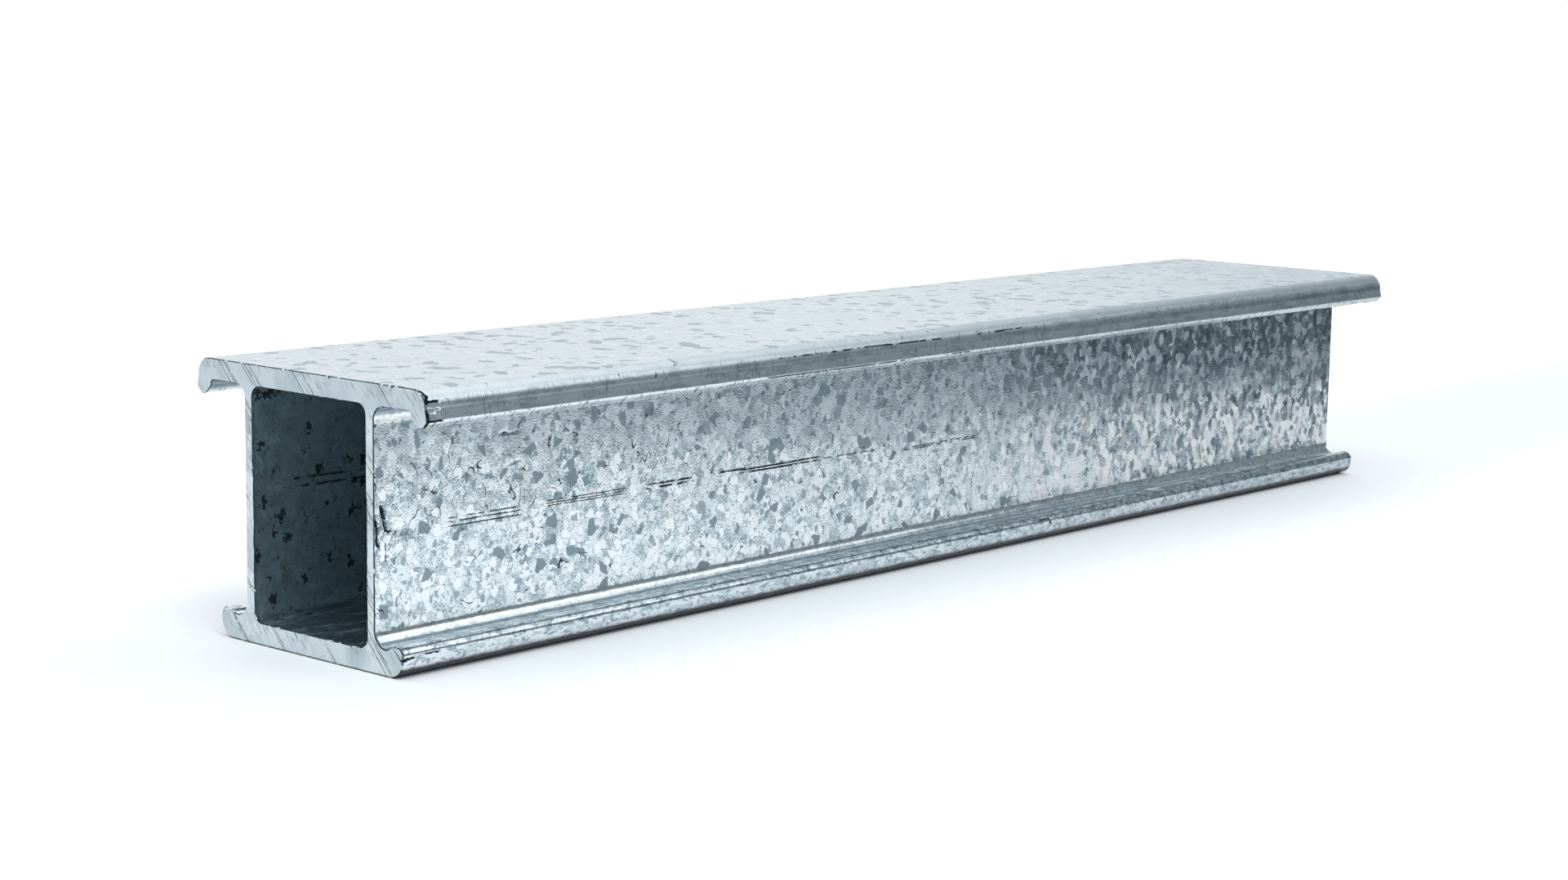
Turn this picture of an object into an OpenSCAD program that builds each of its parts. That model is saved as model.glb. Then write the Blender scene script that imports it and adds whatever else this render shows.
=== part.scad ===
// Hollow lipped box profile: a sawn length of one-piece galvanised steel section.
// Two webs join a wide top flange with down-turned lips to a narrower bottom flange
// with thickened, rounded edges, so each side is an open channel beside a closed cavity.
// X runs across the profile, Y along it and Z up. The origin is on the floor,
// under the middle of the bottom face.

/* [Overall] */
// Sawn length of the piece
length = 620; // [60:1:3000]
// Height from the bottom face to the top face
height = 100; // [70:0.5:200]

/* [Webs] */
// Clear width of the cavity between the webs
cavity_w = 60.8; // [30:0.1:70]
// Thickness of each web
web_t = 4.2; // [2:0.1:6]
// Radius of the corners inside the cavity
cavity_r = 4; // [1:0.1:10]

/* [Top flange] */
// Width over the lips
top_w = 123.6; // [112:0.1:180]
// Thickness of the top flange
top_t = 7.8; // [4:0.1:12]
// Radius of the long outer edges of the top face
top_edge_r = 6; // [1:0.1:8]
// Radius between the web and the underside of the top flange
top_fillet_r = 5; // [1:0.1:6]

/* [Lips] */
// Depth of the lips below the top face
lip_h = 13.6; // [12.6:0.1:20]
// Upright stretch of a lip's outer face below its rounded edge
lip_upright_h = 1; // [0.2:0.1:2]
// How far the outer face of a lip leans out below its upright stretch
lip_lean = 0.9; // [0:0.1:2]
// Thickness of a lip where it leaves the flange
lip_root_t = 8.4; // [6:0.1:10]
// Drop of the straight inner face of a lip before it slants to the tip
lip_step_h = 2.2; // [1.8:0.1:3]
// Radius between a lip and the underside of the flange
lip_fillet_r = 1.8; // [0.5:0.1:1.8]
// Width of the narrow face that ends a lip
lip_tip_t = 2.2; // [1:0.1:3]
// Drop of the slanted face under the outer side of a lip
lip_bevel_h = 3; // [1:0.1:4]
// Reach of that slanted face across the lip
lip_bevel_w = 2.6; // [1:0.1:3]

/* [Bottom flange] */
// Thickness of the bottom flange under the cavity
bottom_t = 7.9; // [4:0.1:12]
// Thickness of the ledge beside each web
ledge_t = 9.2; // [5:0.1:12]
// Radius between the web and the ledge
bottom_fillet_r = 5.6; // [1:0.1:6.5]
// Width of the flat of the ledge, from that radius to the slope
ledge_flat_w = 1; // [0.2:0.1:8]
// Width of the slope from the ledge up to the top of the rounded edge
bead_slope_w = 2.4; // [1:0.1:6]
// How far the rounded edge rises above the ledge
bead_rise = 1.8; // [0.5:0.1:4]
// Width of the raised edge at its top
bead_w = 5.6; // [5:0.1:6]
// Radius of the upper corner of the edge
bead_top_r = 3.2; // [0.5:0.1:3.5]
// Radius of the lower corner of the edge
bead_bottom_r = 6.6; // [1:0.1:7]

/* [Hidden] */
$fn = 96;
web_out = cavity_w / 2 + web_t;
underside_z = height - top_t;
top_edge = top_w / 2;
lip_face_x = top_edge - lip_lean;
lip_z = height - lip_h;
lip_root_x = top_edge - lip_root_t;
lip_tip_x = top_edge - lip_bevel_w;
// The bottom flange reaches out from the web by its radius, flat, slope and raised edge
slope_x = web_out + bottom_fillet_r + ledge_flat_w;
bead_x = slope_x + bead_slope_w;
bottom_edge = bead_x + bead_w;
bead_z = ledge_t + bead_rise;

// Corners of the right side, from the top face down to the bottom face: [x, z, radius].
// A corner with a radius is square, and an arc tangent to both of its sides rounds it.
right_side = [
    [lip_face_x, height, top_edge_r],
    [lip_face_x, height - top_edge_r - lip_upright_h, 0],
    [top_edge, lip_z + lip_bevel_h, 0],
    [lip_tip_x, lip_z, 0],
    [lip_tip_x - lip_tip_t, lip_z, 0],
    [lip_root_x, underside_z - lip_step_h, 0],
    [lip_root_x, underside_z, lip_fillet_r],
    [web_out, underside_z, top_fillet_r],
    [web_out, ledge_t, bottom_fillet_r],
    [slope_x, ledge_t, 0],
    [bead_x, bead_z, 0],
    [bottom_edge, bead_z, bead_top_r],
    [bottom_edge, 0, bead_bottom_r],
];
// The same corners on the left side, from the bottom face up to the top face
left_side = [for (i = [len(right_side) - 1:-1:0]) [-right_side[i].x, right_side[i].y, right_side[i].z]];
outer_corners = concat(right_side, left_side);
cavity_corners = [
    [cavity_w / 2, underside_z, cavity_r],
    [cavity_w / 2, bottom_t, cavity_r],
    [-cavity_w / 2, bottom_t, cavity_r],
    [-cavity_w / 2, underside_z, cavity_r],
];

function flat(corner) = [corner.x, corner.y];
function unit(v) = v / norm(v);
function before(corners, i) = unit(flat(corners[(i + len(corners) - 1) % len(corners)]) - flat(corners[i]));
function after(corners, i) = unit(flat(corners[(i + 1) % len(corners)]) - flat(corners[i]));
// Where the arc of a square corner starts and ends, and its centre
function arc_start(corners, i) = flat(corners[i]) + corners[i].z * before(corners, i);
function arc_end(corners, i) = flat(corners[i]) + corners[i].z * after(corners, i);
function arc_centre(corners, i) = arc_start(corners, i) + corners[i].z * after(corners, i);
// The corners run clockwise, so a left turn is an inside corner, which its arc fills
function is_filled(corners, i) = corners[i].z > 0 && cross(-before(corners, i), after(corners, i)) > 0;
function is_cut(corners, i) = corners[i].z > 0 && !is_filled(corners, i);
// A corner to be filled starts as a straight line across it, and any other as its point
function points_at(corners, i) = is_filled(corners, i)
    ? [arc_start(corners, i), arc_end(corners, i)]
    : [flat(corners[i])];

// What an arc takes off an outside corner
module corner_waste(corners, i) {
    difference() {
        polygon([arc_start(corners, i), flat(corners[i]), arc_end(corners, i)]);
        translate(arc_centre(corners, i)) circle(r = corners[i].z);
    }
}

// What an arc takes off the straight line across an inside corner
module fillet_waste(corners, i) {
    intersection() {
        translate(arc_centre(corners, i)) circle(r = corners[i].z);
        polygon([arc_start(corners, i), flat(corners[i]), arc_end(corners, i)]);
    }
}

// A closed outline whose square corners are rounded by true arcs
module rounded_outline(corners) {
    difference() {
        polygon([for (i = [0:len(corners) - 1]) each points_at(corners, i)]);
        for (i = [0:len(corners) - 1]) {
            if (is_filled(corners, i)) fillet_waste(corners, i);
            if (is_cut(corners, i)) corner_waste(corners, i);
        }
    }
}

module profile_section() {
    difference() {
        rounded_outline(outer_corners);
        rounded_outline(cavity_corners);
    }
}

module box_profile() {
    color([0.72, 0.77, 0.80])
        rotate([90, 0, 0]) linear_extrude(height = length, center = true) profile_section();
}

box_profile();
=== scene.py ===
# %% [markdown]
# A sawn length of galvanised box profile, lying on a pale studio floor. The frame holds its
# imported solid, which fixes where everything is. This lesson dresses it: one mesh with true round
# edges, the small damage that a saw and a galvanising bath leave, and three metal finishes.
# Loading the frame comes first, because the height and width of the section below are taken from its box.

# %% Load the frame
import math
import random

import bmesh
import bpy
from mathutils import Matrix, Vector
from mathutils.geometry import intersect_point_line


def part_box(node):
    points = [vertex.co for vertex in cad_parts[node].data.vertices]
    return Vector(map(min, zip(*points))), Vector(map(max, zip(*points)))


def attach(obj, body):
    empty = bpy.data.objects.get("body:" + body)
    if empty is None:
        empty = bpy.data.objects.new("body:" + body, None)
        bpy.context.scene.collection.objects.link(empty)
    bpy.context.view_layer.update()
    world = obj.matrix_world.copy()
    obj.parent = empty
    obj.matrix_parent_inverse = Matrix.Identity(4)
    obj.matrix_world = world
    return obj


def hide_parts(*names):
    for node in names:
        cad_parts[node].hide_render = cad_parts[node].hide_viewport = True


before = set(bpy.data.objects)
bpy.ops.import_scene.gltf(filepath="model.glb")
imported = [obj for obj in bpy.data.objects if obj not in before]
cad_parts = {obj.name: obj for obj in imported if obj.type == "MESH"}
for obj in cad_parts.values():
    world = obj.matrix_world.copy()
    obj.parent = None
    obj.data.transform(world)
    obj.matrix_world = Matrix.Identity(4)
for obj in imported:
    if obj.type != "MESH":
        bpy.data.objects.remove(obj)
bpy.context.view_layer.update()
MM = 0.001
NODE = "box_profile"
low, high = (Vector(corner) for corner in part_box(NODE))
length = high.y - low.y
print("profile box in mm", [round(v / MM, 1) for v in high - low])

# %% [markdown]
# The camera stands at the right of the near end, a little above the top flange, and looks along
# the profile. Its place and turn were solved from the straight edges of the profile, so they are
# plain numbers here. The lens is long, which keeps the far end almost as large as the near one.

# %% Camera
CAMERA_PLACE = Vector((0.76598, -0.93162, 0.22978))
CAMERA_RIGHT = Vector((0.74882, 0.66258, 0.01601))
CAMERA_FORWARD = Vector((-0.65304, 0.74173, -0.15290))
SENSOR_WIDTH = 36.0
FOCAL_IN_FRAME_WIDTHS = 3500.5 / 1920


def place_camera():
    data = bpy.data.cameras.new("studio_camera")
    data.sensor_width = SENSOR_WIDTH
    data.lens = SENSOR_WIDTH * FOCAL_IN_FRAME_WIDTHS
    data.clip_end = 50
    camera = bpy.data.objects.new("studio_camera", data)
    bpy.context.collection.objects.link(camera)
    forward = CAMERA_FORWARD.normalized()
    right = (CAMERA_RIGHT - forward * CAMERA_RIGHT.dot(forward)).normalized()
    up = right.cross(forward)
    turn = Matrix((right, up, -forward)).transposed().to_4x4()
    camera.matrix_world = Matrix.Translation(CAMERA_PLACE) @ turn
    bpy.context.scene.camera = camera
    return camera


camera = place_camera()
print("lens in mm", round(camera.data.lens, 1))

# %% [markdown]
# Node trees are long to write out, so a few helpers come first. `add` makes a node and fills its
# sockets: a value is typed into a socket, and another node's output is linked to it.

# %% Helpers for node trees


def new_tree(owner):
    owner.use_nodes = True
    tree = owner.node_tree
    tree.nodes.clear()
    return tree


def add(tree, kind, sockets=None, **settings):
    node = tree.nodes.new(kind)
    for name, value in settings.items():
        setattr(node, name, value)
    for key, value in (sockets or {}).items():
        if isinstance(value, bpy.types.NodeSocket):
            tree.links.new(value, node.inputs[key])
        else:
            node.inputs[key].default_value = value
    return node


def math_node(tree, operation, *values, clamp=False):
    sockets = dict(enumerate(values))
    return add(tree, "ShaderNodeMath", sockets, operation=operation, use_clamp=clamp).outputs[0]


def ramp(tree, value, low_in, high_in, low_out=0.0, high_out=1.0):
    sockets = {0: value, 1: low_in, 2: high_in, 3: low_out, 4: high_out}
    node = add(tree, "ShaderNodeMapRange", sockets, interpolation_type="SMOOTHSTEP")
    return node.outputs[0]


def mix_colour(tree, factor, first, second):
    node = add(tree, "ShaderNodeMix", data_type="RGBA")
    for socket, value in ((node.inputs[0], factor), (node.inputs[6], first), (node.inputs[7], second)):
        if isinstance(value, bpy.types.NodeSocket):
            tree.links.new(value, socket)
        else:
            socket.default_value = value
    return node.outputs[2]


# %% [markdown]
# The studio is a white room with one dark side. Bare metal has hardly any colour of its own: it
# shows what stands around it. The white side behind the profile makes its top face pale, the
# white ceiling lays a bright line along each rounded edge, and the dark side at the far right
# turns the lip grey. A small soft box hangs before that side, and lights up every rounding near
# the near end. The world does all this, with a shader that reads only the direction of the ray.
# The camera itself sees plain white.

# %% Studio world
WHITE = (1.0, 1.0, 1.0, 1.0)
DARK_SIDE = Vector((0.574, 0.819, 0.0))
ROOM_LEVEL, DARK_LEVEL, CEILING_LEVEL = 0.92, 0.24, 1.1
SOFT_BOX = Vector((0.60, 0.58, 0.55)).normalized()
SOFT_BOX_LEVEL = 1.25
DARK_TINT, ROOM_TINT = (0.76, 0.92, 1.0, 1.0), (0.95, 0.985, 1.0, 1.0)


def build_world():
    world = bpy.data.worlds.new("studio")
    bpy.context.scene.world = world
    tree = new_tree(world)
    ray = add(tree, "ShaderNodeTexCoord").outputs["Generated"]
    parts = add(tree, "ShaderNodeSeparateXYZ", {0: ray})
    level_ray = add(tree, "ShaderNodeCombineXYZ", {0: parts.outputs[0], 1: parts.outputs[1]}).outputs[0]
    level_ray = add(tree, "ShaderNodeVectorMath", {0: level_ray}, operation="NORMALIZE").outputs[0]
    towards = add(tree, "ShaderNodeVectorMath", {0: level_ray, 1: tuple(DARK_SIDE)}, operation="DOT_PRODUCT")
    dark = ramp(tree, towards.outputs["Value"], 0.12, 0.97)
    overhead = ramp(tree, parts.outputs["Z"], 0.52, 0.74)
    walls = ramp(tree, dark, 0.0, 1.0, ROOM_LEVEL, DARK_LEVEL)
    level = math_node(tree, "MULTIPLY", overhead, math_node(tree, "SUBTRACT", CEILING_LEVEL, walls))
    level = math_node(tree, "ADD", walls, level)
    box = add(tree, "ShaderNodeVectorMath", {0: ray, 1: tuple(SOFT_BOX)}, operation="DOT_PRODUCT")
    box = ramp(tree, box.outputs["Value"], 0.950, 0.984)
    glow = math_node(tree, "MULTIPLY", box, math_node(tree, "SUBTRACT", SOFT_BOX_LEVEL, level))
    level = math_node(tree, "ADD", level, glow)
    overhead = math_node(tree, "MAXIMUM", overhead, box)
    tint = mix_colour(tree, math_node(tree, "SUBTRACT", dark, overhead, clamp=True), ROOM_TINT, DARK_TINT)
    room = add(tree, "ShaderNodeBackground", {"Color": tint, "Strength": level})
    plain = add(tree, "ShaderNodeBackground", {"Color": WHITE, "Strength": 1.0})
    seen = add(tree, "ShaderNodeLightPath").outputs["Is Camera Ray"]
    shown = add(tree, "ShaderNodeMixShader", {0: seen, 1: room.outputs[0], 2: plain.outputs[0]})
    add(tree, "ShaderNodeOutputWorld", {"Surface": shown.outputs[0]})


build_world()

# %% [markdown]
# The floor is white. The camera sees it as white throughout, apart from the shadow of the profile
# and a painted shadow all along beside it, where the floor's own light fades out. What the metal
# mirrors is the same floor with a painted pool of light, as it would look under one soft lamp that
# hangs over the near end: bright close by, and grey further back on the right. This painted fall
# in brightness is what makes the upper half of the web darker than its foot, and its far end
# darker than its near end.

# %% Floor
FLOOR_SIZE = 60.0
FALL_DIRECTION = (1.0, 0.85, 0.0)
NEAR_FALL, FAR_FALL = 0.05, 0.95
LIFT = 0.16
NEAR_PAPER, FAR_PAINTED_SHADE = (0.93, 0.96, 0.98, 1.0), (0.15, 0.185, 0.21, 1.0)
DEEP_FALL, DEEP_PAINTED_SHADE = 1.5, (0.07, 0.092, 0.108, 1.0)


def build_floor():
    bpy.ops.object.select_all(action="DESELECT")
    bpy.ops.mesh.primitive_plane_add(size=FLOOR_SIZE, location=(0, 0, -0.0002))
    floor = bpy.context.object
    floor.name = "studio_floor"
    paper = bpy.data.materials.new("floor_paper")
    tree = new_tree(paper)
    place = add(tree, "ShaderNodeTexCoord").outputs["Object"]
    along = add(tree, "ShaderNodeVectorMath", {0: place, 1: FALL_DIRECTION}, operation="DOT_PRODUCT")
    sockets = {0: along.outputs["Value"], 1: NEAR_FALL, 2: FAR_FALL}
    fall = add(tree, "ShaderNodeMapRange", sockets).outputs[0]
    painted_light_pool = mix_colour(tree, fall, NEAR_PAPER, FAR_PAINTED_SHADE)
    painted_light_pool = mix_colour(tree, ramp(tree, along.outputs["Value"], FAR_FALL, DEEP_FALL), painted_light_pool, DEEP_PAINTED_SHADE)
    mirrored = add(tree, "ShaderNodeBsdfDiffuse", {"Color": painted_light_pool})
    white = add(tree, "ShaderNodeBsdfDiffuse", {"Color": NEAR_PAPER})
    # Painted shadow: the floor's own light for the camera fades out between 16 and 4.5 cm from the profile's middle
    # line, so the floor is darker all along beside it.
    clear = ramp(tree, math_node(tree, "ABSOLUTE", add(tree, "ShaderNodeSeparateXYZ", {0: place}).outputs[0]), 0.045, 0.16)
    lift = add(tree, "ShaderNodeEmission", {"Color": WHITE, "Strength": math_node(tree, "MULTIPLY", clear, LIFT)})
    paper_seen = add(tree, "ShaderNodeAddShader", {0: white.outputs[0], 1: lift.outputs[0]})
    seen = add(tree, "ShaderNodeLightPath").outputs["Is Camera Ray"]
    both = add(tree, "ShaderNodeMixShader", {0: seen, 1: mirrored.outputs[0], 2: paper_seen.outputs[0]})
    add(tree, "ShaderNodeOutputMaterial", {"Surface": both.outputs[0]})
    floor.data.materials.append(paper)
    return floor


floor = build_floor()

# %% [markdown]
# One broad soft lamp hangs on the right. It throws the faint shadow to the left of the near end.

# %% Lamp


def add_lamp(name, place, aim, size, watts):
    data = bpy.data.lights.new(name, "AREA")
    data.shape = "RECTANGLE"
    data.size, data.size_y = size
    data.energy = watts
    lamp = bpy.data.objects.new(name, data)
    bpy.context.collection.objects.link(lamp)
    lamp.location = place
    lamp.rotation_euler = (Vector(aim) - Vector(place)).to_track_quat("-Z", "Y").to_euler()
    return lamp


lamp = add_lamp("soft_lamp", (0.9, -0.5, 1.3), (0.0, -0.15, 0.0), (0.8, 0.8), 7.0)

# %% [markdown]
# The profile is one rolled piece, so it is one mesh. Its section is the same all along, which
# makes it a job for drawing the section once and pulling it out. Half of the section is drawn, as
# two lines of corners, because the other half is its mirror image. Each line is drawn by pulling
# a single vertex from corner to corner, as one would with the E key.
# Widths, heights and thicknesses are in millimetres, like a drawing of the section.

# %% Section sizes
HEIGHT = (high.z - low.z) / MM
TOP_EDGE = (high.x - low.x) / 2 / MM
WEB_INNER, WEB_OUTER = 30.4, 34.6
CEILING, CAVITY_FLOOR = 92.2, 7.9
LIP_FACE, LIP_ROOT = TOP_EDGE - 0.9, TOP_EDGE - 8.4
LIP_UPRIGHT_END, LIP_STEP_END = 93.0, 90.0
BEVEL_TOP, LIP_TIP = 89.4, 86.4
TIP_OUTER, TIP_INNER = TOP_EDGE - 2.6, TOP_EDGE - 4.8
BOTTOM_EDGE = 49.2
LEDGE, BEAD_TOP = 9.2, 11.0
BEAD_START, BEAD_CREST = 41.2, 43.6

# Each corner: x, z, how far its rounding reaches along its sides, steps in the rounding
CORNERS = [
    (0, HEIGHT, 0, 0),
    (LIP_FACE, HEIGHT, 6.0, 12),
    (LIP_FACE, LIP_UPRIGHT_END, 0.6, 2),
    (TOP_EDGE, BEVEL_TOP, 0.7, 4),
    (TIP_OUTER, LIP_TIP, 0.7, 4),
    (TIP_INNER, LIP_TIP, 0.7, 4),
    (LIP_ROOT, LIP_STEP_END, 0.5, 3),
    (LIP_ROOT, CEILING, 1.5, 6),
    (WEB_OUTER, CEILING, 5.0, 10),
    (WEB_OUTER, LEDGE, 5.6, 12),
    (BEAD_START, LEDGE, 0.9, 4),
    (BEAD_CREST, BEAD_TOP, 1.0, 5),
    (BOTTOM_EDGE, BEAD_TOP, 3.2, 8),
    (BOTTOM_EDGE, 0, 6.6, 12),
    (0, 0, 0, 0),
    # From here on, the cavity
    (0, CAVITY_FLOOR, 0, 0),
    (WEB_INNER, CAVITY_FLOOR, 4.0, 8),
    (WEB_INNER, CEILING, 4.0, 8),
    (0, CEILING, 0, 0),
]
OUTER_CORNERS = 15
print("corners in half the section:", len(CORNERS))

# %% Helpers for edit mode


def select_only(obj):
    if bpy.context.object and bpy.context.object.mode != "OBJECT":
        bpy.ops.object.mode_set(mode="OBJECT")
    bpy.ops.object.select_all(action="DESELECT")
    bpy.context.view_layer.objects.active = obj
    obj.select_set(True)


def pick(obj, kind, test):
    """Selects what passes the test in edit mode, and nothing else, and returns how many."""
    bpy.ops.mesh.select_mode(type=kind)
    bpy.ops.mesh.select_all(action="DESELECT")
    mesh = bmesh.from_edit_mesh(obj.data)
    items = {"VERT": mesh.verts, "EDGE": mesh.edges, "FACE": mesh.faces}[kind]
    chosen = [item for item in items if test(item)]
    for item in chosen:
        item.select_set(True)
    mesh.select_flush_mode()
    bmesh.update_edit_mesh(obj.data)
    return len(chosen)


# %% Draw half of the section
def pull_line(first, places):
    """Pulls the picked vertex along a row of places, which leaves a line of edges behind it."""
    for before, after in zip([first] + places, places):
        bpy.ops.mesh.extrude_vertices_move(TRANSFORM_OT_translate={"value": after - before})


def draw_half_section():
    bpy.ops.object.select_all(action="DESELECT")
    bpy.ops.mesh.primitive_plane_add(size=MM, location=(0, 0, 0))
    profile = bpy.context.object
    profile.name = "galvanised_profile"
    bpy.ops.object.mode_set(mode="EDIT")
    pick(profile, "VERT", lambda v: v.index > 0)
    bpy.ops.mesh.delete(type="VERT")
    places = [Vector((x * MM, low.y, z * MM)) for x, z, reach, steps in CORNERS]
    outer, cavity = places[:OUTER_CORNERS], places[OUTER_CORNERS:]
    pick(profile, "VERT", lambda v: True)
    start = bmesh.from_edit_mesh(profile.data).verts[:][0].co.copy()
    bpy.ops.transform.translate(value=outer[0] - start)
    pull_line(outer[0], outer[1:])
    bpy.ops.mesh.duplicate_move(TRANSFORM_OT_translate={"value": cavity[0] - outer[-1]})
    pull_line(cavity[0], cavity[1:])
    for place, corner in zip(places, CORNERS):
        if corner[3]:
            pick(profile, "VERT", lambda v: (v.co - place).length < 0.01 * MM)
            bpy.ops.mesh.bevel(offset=corner[2] * MM, segments=corner[3], affect="VERTICES")
    return profile


profile = draw_half_section()
print("vertices in half the section:", len(bmesh.from_edit_mesh(profile.data).verts))

# %% [markdown]
# The long straight sides get more vertices, so that the surface can be made slightly uneven later.
# Then the lines are pulled out to the whole length: in short steps near the two sawn ends, where
# the damage is, and in one long step between them. The mirror image is merged on.

# %% Pull the section out to its length
FLAT_STEP = 2.4 * MM
END_STEPS = [0.5, 0.6, 0.8, 1.1, 1.5, 2.0, 2.5]
ON_PLANE = 0.001 * MM


def cut_long_sides(obj):
    mesh = bmesh.from_edit_mesh(obj.data)
    spans = sorted({round(edge.calc_length(), 7) for edge in mesh.edges})
    for span in [s for s in spans if s > 1.6 * FLAT_STEP]:
        cuts = max(1, round(span / FLAT_STEP) - 1)
        if pick(obj, "EDGE", lambda e: abs(e.calc_length() - span) < ON_PLANE):
            bpy.ops.mesh.subdivide(number_cuts=cuts)


def edge_run(edge):
    return abs(edge.verts[0].co.y - edge.verts[1].co.y)


def at_end(item, y):
    verts = item.verts if hasattr(item, "verts") else [item]
    return all(abs(v.co.y - y) < ON_PLANE for v in verts)


def pull_out(obj):
    cut_long_sides(obj)
    pick(obj, "EDGE", lambda e: True)
    middle = length / MM - 2 * sum(END_STEPS)
    for step in END_STEPS + [middle] + END_STEPS[::-1]:
        bpy.ops.mesh.extrude_region_move(TRANSFORM_OT_translate={"value": (0, step * MM, 0)})
    bpy.ops.object.mode_set(mode="OBJECT")
    mirror = obj.modifiers.new("other_half", "MIRROR")
    mirror.merge_threshold = 0.05 * MM
    bpy.ops.object.modifier_apply(modifier=mirror.name)
    bpy.ops.object.mode_set(mode="EDIT")


pull_out(profile)
print("faces in the walls:", len(bmesh.from_edit_mesh(profile.data).faces))

# %% [markdown]
# Each end is filled, and the fill is inset by a hair. The ring left around it leans back, which
# gives the thin broken edge that a saw leaves where the zinc coat ends. The blade also left
# slanting marks. Each mark is a narrow groove: three parallel cuts across the face, and the
# vertices on the middle one are pushed in.

# %% Sawn ends
RIM = 0.34 * MM
RIM_LEAN = 0.30 * MM
SAW_SLANT = math.radians(42)
SAW_MARKS = 22
GROOVE_HALF, GROOVE_DEPTH = 0.12 * MM, 0.07 * MM
saw = random.Random(11)


def fill_end(obj, y):
    pick(obj, "EDGE", lambda e: at_end(e, y))
    bpy.ops.mesh.fill(use_beauty=True)
    pick(obj, "FACE", lambda f: at_end(f, y))
    bpy.ops.mesh.inset(thickness=RIM, use_boundary=True, use_even_offset=True)


def saw_line(place):
    """A point on a slanting line across the end and the direction square to the line."""
    across = Vector((math.cos(SAW_SLANT), 0, math.sin(SAW_SLANT)))
    return across * place, across


def mark_end(obj, y, inward):
    reach = 80 * MM
    for number in range(SAW_MARKS):
        place = (saw.random() * 2 - 1) * reach + 40 * MM
        for side in (-GROOVE_HALF, 0, GROOVE_HALF):
            pick(obj, "FACE", lambda f: at_end(f, y))
            point, across = saw_line(place + side)
            bpy.ops.mesh.bisect(plane_co=point + Vector((0, y, 0)), plane_no=across)
        point, across = saw_line(place)
        depth = GROOVE_DEPTH * saw.uniform(0.3, 1.0)

        def on_mark(v):
            inner = all(at_end(f, y) for f in v.link_faces)
            return inner and at_end(v, y) and abs((v.co - point).dot(across)) < 0.01 * MM

        if pick(obj, "VERT", on_mark):
            bpy.ops.transform.translate(value=(0, inward * depth, 0))


def lean_rim(obj, y, inward):
    """Pushes back the outline of an end, which the skin and the inset ring share."""
    def on_outline(v):
        return at_end(v, y) and any(not at_end(f, y) and f.normal.y ** 2 < 0.5 for f in v.link_faces)

    pick(obj, "VERT", on_outline)
    bpy.ops.transform.translate(value=(0, inward * RIM_LEAN, 0))


for y, inward in ((low.y, 1), (high.y, -1)):
    fill_end(profile, y)
    mark_end(profile, y, inward)
    lean_rim(profile, y, inward)
print("faces with the ends:", len(bmesh.from_edit_mesh(profile.data).faces))

# %% [markdown]
# The ends are done, so the long edges between them can be cut into rings. Doing this last keeps
# the work on the ends quick, because every pick looks through the whole mesh.

# %% Rings along the length
RING_STEP = 3.1 * MM


def cut_rings(obj):
    pick(obj, "EDGE", lambda e: edge_run(e) > 0.5 * length)
    bpy.ops.mesh.subdivide(number_cuts=round(length / RING_STEP) - 1)
    bpy.ops.mesh.select_all(action="SELECT")
    bpy.ops.mesh.normals_make_consistent(inside=False)
    bpy.ops.object.mode_set(mode="OBJECT")


cut_rings(profile)
print("faces with the rings:", len(profile.data.polygons))
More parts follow.
